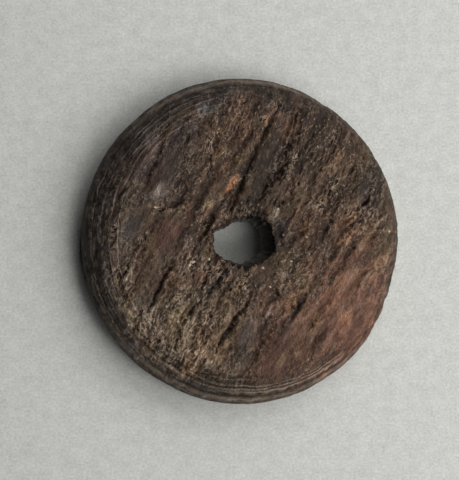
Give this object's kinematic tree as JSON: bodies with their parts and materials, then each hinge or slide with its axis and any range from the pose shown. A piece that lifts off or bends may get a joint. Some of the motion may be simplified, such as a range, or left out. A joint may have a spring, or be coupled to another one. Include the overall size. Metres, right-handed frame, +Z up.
{
  "type": "pierced bone disc",
  "caption": "Flat round disc of dark weathered bone with a turned lip and groove round its edge and a worn oval hole through the middle, lying flat.",
  "frame": {"origin": "on the underside, at the middle of the disc, in the hole", "axes": "+Z up through the hole, from the underside to the grooved upper face; +X along the long way of the oval hole; the grain runs at about 57 degrees from +X towards +Y"},
  "size_m": [0.0379, 0.038, 0.0058],
  "materials": {
    "dark_bone": "dark stained, weathered bone, mostly matt with a faint polish where the grain is dense"
  },
  "bodies": {
    "root": {"bone_disc": "dark_bone"}
  },
  "joints": []
}
